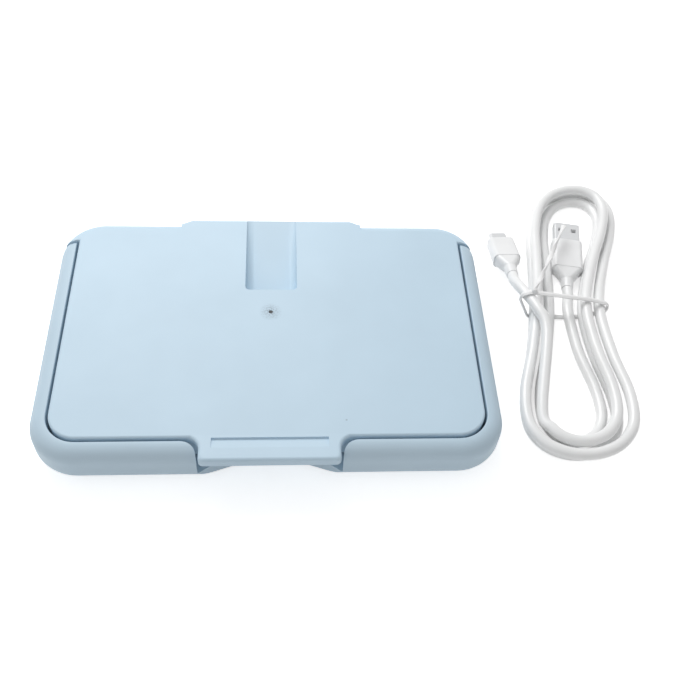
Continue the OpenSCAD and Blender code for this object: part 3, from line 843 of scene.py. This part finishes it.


# The lead, run between its plugs, and its tie

hank = {
    "at": (128, 22),
    "cord": 4.8,
    "waistHalf": 15.8,
    "frontBulge": (40, -8),
    "rearBulge": 28,
    "frontReach": 76,
    "rearReach": 79,
    "step": 6,
    "waistStep": 1.1,
    "frontStep": 0.9,
    "rearStep": 0.8,
    "foldRings": 8,
    "lean": 0.175,
    "rearLean": 0.105,
    "leanStart": 12,
    "lastTurn": 3.375,
    "turnBack": 2,
    "layer": 5.5,
    "rise": (0.14, 0.24),     # turns before the second layer, and turns that it takes
    "tieRoom": 1.9,
    "tieRoomLength": 24,
    "rings": 24,
    "plugA": (5.2, 14, 3.7),
    "fromPlugA": (0.6, 4.8, 0),
    "over": [(-12.6, -19, 14.1), (-15, -6, 15.2), (-18.8, 5, 13.4)],   # the crossing before the left plug
    "toPlugC": (0.3, -5, 1.1),
    "plugC": (-20.8, 17, 9.8),
}


def halfWidth(c, inset):
    if c < 0:
        bulge = hank["frontBulge"][0] * c ** 2 + hank["frontBulge"][1] * c ** 4
        step = hank["waistStep"] + hank["frontStep"] * c * c
    else:
        bulge = hank["rearBulge"] * c * c
        step = hank["waistStep"] + hank["rearStep"] * c * c
    return hank["waistHalf"] + bulge - inset * step


def hankPoint(t):
    b = math.radians(90 + 360 * t)
    a = b - math.radians(hank["foldRings"]) * math.sin(2 * b)
    c, inset = math.cos(a), hank["step"] * abs(hank["turnBack"] - t)
    y = ((hank["frontReach"] if c < 0 else hank["rearReach"]) - inset) * c
    x = halfWidth(c, inset) * math.sin(a) + hank["lean"] * y
    x += hank["rearLean"] * (math.hypot(y, hank["leanStart"]) - hank["leanStart"])
    before, turns = hank["rise"]
    z = hank["cord"] / 2 + hank["layer"] * fade((t - hank["turnBack"] + before) / turns)
    return Vector((x, y, z + hank["tieRoom"] * math.exp(-(y / hank["tieRoomLength"]) ** 2)))


def smoothLine(points, steps):
    # a curve through all the points (Catmull-Rom)
    line = []
    for i in range(len(points) - 1):
        p = [points[max(0, min(len(points) - 1, i + k))] for k in (-1, 0, 1, 2)]
        for j in range(steps):
            t = j / steps
            line.append(0.5 * (2 * p[1] + (p[2] - p[0]) * t + (2 * p[0] - 5 * p[1] + 4 * p[2] - p[3]) * t * t
                               + (3 * p[1] - p[0] - 3 * p[2] + p[3]) * t ** 3))
    return line + [points[-1]]


def leadRoute():
    plugA, plugC = Vector(hank["plugA"]), Vector(hank["plugC"])
    turns = [hankPoint(i / hank["rings"]) for i in range(round(hank["rings"] * hank["lastTurn"]) + 1)]
    over = [Vector(p) for p in hank["over"]]
    start = [plugA, plugA - Vector(hank["fromPlugA"])]
    points = start + turns + over + [plugC + Vector(hank["toPlugC"]), plugC]
    offset = Vector((*hank["at"], 0))
    return [p + offset for p in smoothLine(points, 6)]


def makeLead(material, withPieces):
    route = leadRoute()
    curve = bpy.data.curves.new("lead", "CURVE")
    curve.dimensions = "3D"
    spline = curve.splines.new("POLY")
    spline.points.add(len(route) - 1)
    for point, place in zip(spline.points, route):
        point.co = (*(place * mm), 1)
    curve.bevel_depth = hank["cord"] / 2 * mm
    curve.bevel_resolution = 6
    curve.use_fill_caps = True
    spline.use_smooth = True
    lead = link("lead", curve)
    curve.materials.append(material)
    length = sum((b - a).length for a, b in zip(route, route[1:])) * mm
    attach(lead, "base")
    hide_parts("usb_cable")
    tuple(route[0] * mm)
    print("lead", round(length, 3), "m")


tie = {
    "ring": [(-13.1, 0.9), (-14, 1.1), (-15.5, 2.3), (-20.7, 13), (-20.7, 15.1), (-20, 16.3), (-19, 17),
             (-17.4, 17.7), (-16.4, 17.7), (10.3, 13), (18.1, 10.4), (19, 9.5), (19.5, 8.3), (19.5, 6.9),
             (19, 5.7), (18.2, 4.9), (10.1, 0.9)],
    "tail": [(-0.8, 18.4), (4.7, 18), (13.7, 15.2), (24.9, 13.2), (37.3, 12.8), (49.6, 13.6)],
    "tailX": -15.5,
    "tailTurn": 63,
    "width": 2.1,
    "thick": 0.7,
    "core": 1.1,            # the wire down its middle
    "twist": 540,
    "knot": (2.0, 1.1),     # radius and thread of the twisted knot
    "knotZ": 18.8,
    "knotTurns": 3,
    "knotSteps": 64,
    "knotRise": 1.2,
    "knotFlat": 0.75,
}


def ribbonSection(middle, across, normal):
    w, t, core = tie["width"] / 2, tie["thick"] / 2, tie["core"] / 2
    shape = [(-w, -t * 0.7), (-w * 0.5, -t), (-core * 0.6, -core)]
    shape += [(-a, b) for a, b in reversed(shape)]
    shape += [(-a, -b) for a, b in shape]
    return [tuple(middle + across * a + normal * b) for a, b in shape]


def makeTie(material):
    offset = Vector((*hank["at"], 0))
    ring = [Vector((x, 0, z)) for x, z in tie["ring"]]
    rings = []
    for i, place in enumerate(ring):
        along = (ring[(i + 1) % len(ring)] - ring[i - 1]).normalized()
        across = Vector((0, 1, 0))
        rings.append(ribbonSection(place + offset, across, along.cross(across)))
    band = loft("twist_tie", rings, closed=True)
    turn = math.radians(tie["tailTurn"])
    ahead = Vector((math.cos(turn), math.sin(turn), 0))
    line = smoothLine([Vector((tie["tailX"], 0, z)) + ahead * d for d, z in tie["tail"]], 10)
    rings = []
    for i, place in enumerate(line):
        along = (line[min(i + 1, len(line) - 1)] - line[max(i - 1, 0)]).normalized()
        roll = Matrix.Rotation(math.radians(tie["twist"]) * i / len(line), 3, along)
        across = roll @ along.cross(Vector((0, 0, 1))).normalized()
        rings.append(ribbonSection(place + offset, across, across.cross(along)))
    tail = loft("tail", rings)
    radius, thread = tie["knot"]
    steps = tie["knotSteps"]
    rings = []
    for i in range(steps + 1):
        a = math.radians(360 * tie["knotTurns"] * i / steps)
        out = Vector((math.cos(a), tie["knotFlat"] * math.sin(a), 0))
        middle = Vector((tie["tailX"], 0, tie["knotZ"] + tie["knotRise"] * (i / steps - 0.5)))
        place = middle + out * (radius - thread) * (1 - 0.5 * i / steps) + offset
        rings.append([tuple(place + (out * math.cos(b) + Vector((0, 0, 1)) * math.sin(b)) * thread / 2)
                      for b in (math.radians(45 * k) for k in range(8))])
    knot = loft("knot", rings)
    joined = band.data.copy()
    work = bmesh.new()
    for piece in (band, tail, knot):
        work.from_mesh(piece.data)
    work.to_mesh(joined)
    work.free()
    for piece in (tail, knot):
        bpy.data.objects.remove(piece)
    band.data = joined
    smooth(band, 50)
    paint(band, material)
    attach(band, "base")
    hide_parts("cable_tie")
    print("tie", len(band.data.polygons), "faces")
    return band


# Screws: one tree puts a cross-headed screw at each point

screw = {
    "headRadius": 2.2,
    "headDome": 0.35,
    "shankRadius": 1.1,
    "crossLength": 2.6,
    "crossWidth": 0.6,
    "crossDepth": 0.6,
    "baseHead": 1.2,
    "lidHead": 0.9,
    "fromSides": 17,
    "fromEnds": 18,
    "fromLidEdge": 7.5,
}


def makeScrew(head, shank):
    r, dome = screw["headRadius"], screw["headDome"]
    profile = [(r * 0.55, -head), (r - dome, -head + 0.08), (r, -head + dome + 0.1), (r, 0)]
    profile += [(screw["shankRadius"], 0), (screw["shankRadius"], shank)]
    rings = [[(x, y, z) for x, y in circle(0, 0, radius, 24)] for radius, z in profile]
    made = loft("screw", rings)
    l, w, d = screw["crossLength"] / 2, screw["crossWidth"] / 2, screw["crossDepth"]
    slots = [block("slot", (-a, -b, -head - 1), (a, b, -head + d)) for a, b in ((l, w), (w, l))]
    cut(made, add(slots[0], slots[1]))
    smooth(made, 35)
    return made


def screwTree():
    tree = bpy.data.node_groups.new("screwsAtPoints", "GeometryNodeTree")
    sockets = {}
    for name, kind in (("Points", "Geometry"), ("Screw", "Object"), ("Turn", "Float"), ("Metal", "Material")):
        made = tree.interface.new_socket(name, in_out="INPUT", socket_type="NodeSocket" + kind)
        sockets[name] = made.identifier
    tree.interface.new_socket("Screws", in_out="OUTPUT", socket_type="NodeSocketGeometry")
    start, end = tree.nodes.new("NodeGroupInput"), tree.nodes.new("NodeGroupOutput")
    info = tree.nodes.new("GeometryNodeObjectInfo")
    turn = tree.nodes.new("FunctionNodeRandomValue")
    turn.data_type = "FLOAT"
    turn.inputs["Seed"].default_value = 7
    spin = tree.nodes.new("ShaderNodeCombineXYZ")
    place = tree.nodes.new("GeometryNodeInstanceOnPoints")
    real = tree.nodes.new("GeometryNodeRealizeInstances")
    coat = tree.nodes.new("GeometryNodeSetMaterial")
    wires = [
        (start.outputs["Points"], place.inputs["Points"]),
        (start.outputs["Screw"], info.inputs["Object"]),
        (info.outputs["Geometry"], place.inputs["Instance"]),
        (start.outputs["Turn"], turn.inputs[3]),
        (turn.outputs[1], spin.inputs["Z"]),
        (spin.outputs[0], place.inputs["Rotation"]),
        (place.outputs["Instances"], real.inputs["Geometry"]),
        (real.outputs["Geometry"], coat.inputs["Geometry"]),
        (start.outputs["Metal"], coat.inputs["Material"]),
        (coat.outputs["Geometry"], end.inputs["Screws"]),
    ]
    for source, target in wires:
        tree.links.new(source, target)
    return tree, sockets


def placeScrews(name, node, rider, points, head, shank, steel):
    tree, sockets = screwTree()
    one = makeScrew(head, shank)
    made = meshFrom(name, points, [])
    step = made.modifiers.new("screws", "NODES")
    step.node_group = tree
    step[sockets["Screw"]] = one
    step[sockets["Turn"]] = math.radians(90)
    step[sockets["Metal"]] = steel
    bake(made)
    bpy.data.objects.remove(one)
    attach(made, rider)
    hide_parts(node)
    print(name, len(points))


def makeScrews(steel):
    x, y = body["width"] / 2 - screw["fromSides"], body["depth"] / 2 - screw["fromEnds"]
    low, high = nodeBox("base_screws")
    head = screw["baseHead"]
    points = [(a, b, low.z + head) for a in (-x, 0, x) for b in (-y, y)]
    placeScrews("base_cross_screws", "base_screws", "base", points, head, high.z - low.z - head, steel)
    low, high = nodeBox("lid_screws")
    head, x = screw["lidHead"], lidHalf - screw["fromLidEdge"]
    rows = (lidFront + screw["fromLidEdge"], (lidFront + rearY) / 2, shoulderY - 1)
    points = [(a, b, low.z + head) for a in (-x, x) for b in rows]
    placeScrews("lid_cross_screws", "lid_screws", "lid", points, head, high.z - low.z - head, steel)


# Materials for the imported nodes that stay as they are

nodeMaterials = {
    "bottom_plate": "frame", "opening_seal": "seal", "adhesive_pad": "foam",
    "hinge_pin": "steel", "lid_inner_cover": "inner", "heating_plate": "plate", "plate_rivets": "steel",
    "heater_film": "film", "insulation_sheet": "felt", "circuit_board": "board", "board_parts": "black",
    "board_screws": "steel", "usb_socket": "shell", "indicator_led": "smoke", "light_guide": "smoke",
    "temperature_sensor": "black", "thermal_fuse": "steel", "heater_leads": "wire",
    "usb_a_body": "plug", "usb_a_shell": "shell", "usb_a_tongue": "plug", "usb_c_body": "plug",
    "usb_c_shell": "shell",
}


def paintNodes(materials):
    for node, name in nodeMaterials.items():
        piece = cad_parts[node]
        piece.data.materials.clear()
        piece.data.materials.append(materials[name])


# Room

ground = {
    "half": 3000,
    "thick": 10,
    "colour": (0.93, 0.93, 0.93),
    "rough": 0.8,
    "glow": 0.58,           # keeps it white to the camera and in reflections, with a faint shadow
}


def makeFloor():
    s = Shader("paleFloor")
    s.set(Base_Color=ground["colour"], Roughness=ground["rough"])
    rays = s.node("ShaderNodeLightPath")
    ways = rays.socket.node.outputs
    seen = rays
    for way in ("Is Glossy Ray", "Is Transmission Ray"):
        seen = seen.maths("MAXIMUM", Wire(s, ways[way]))
    glow = s.node("ShaderNodeEmission", None, {"Color": (1, 1, 1), "Strength": seen * ground["glow"]})
    both = s.node("ShaderNodeAddShader", None, {0: Wire(s, s.surface.outputs[0]), 1: glow})
    s.tree.links.new(both.socket, s.tree.nodes["Material Output"].inputs["Surface"])
    half = ground["half"]
    floor = block("floor", (-half, -half, -ground["thick"]), (half, half, 0))
    paint(floor, s.material)


def makeRoom():
    world = bpy.data.worlds.new("room")
    bpy.context.scene.world = world
    world.use_nodes = True
    tree = world.node_tree
    back = tree.nodes["Background"]
    rays = tree.nodes.new("ShaderNodeLightPath")
    seen = rays.outputs["Is Camera Ray"]
    for way in ("Is Glossy Ray", "Is Transmission Ray"):
        pick = tree.nodes.new("ShaderNodeMath")
        pick.operation = "MAXIMUM"
        tree.links.new(seen, pick.inputs[0])
        tree.links.new(rays.outputs[way], pick.inputs[1])
        seen = pick.outputs[0]
    level = tree.nodes.new("ShaderNodeMix")
    level.inputs[2].default_value = light["room"]
    level.inputs[3].default_value = 1
    tree.links.new(seen, level.inputs[0])
    tree.links.new(level.outputs[0], back.inputs["Strength"])
    back.inputs["Color"].default_value = (1, 1, 1, 1)
    bpy.context.scene.view_settings.view_transform = "Standard"
    makeLamp("window", light["window"], light["windowSize"], light["windowPower"])
    makeLamp("fill", light["fill"], light["fillSize"], light["fillPower"])


makeCamera()
materials = makeMaterials()
plugNodes = ("usb_a_body", "usb_a_shell", "usb_a_tongue", "usb_c_body", "usb_c_shell")
plugPieces = [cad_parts[node] for node in plugNodes]
makeLead(materials["cord"], plugPieces + [makeTie(materials["tie"])])
paintNodes(materials)
makeFrame(materials["frame"])
makeLid(materials["lid"])
makeScrews(materials["steel"])
makeRoom()
makeFloor()
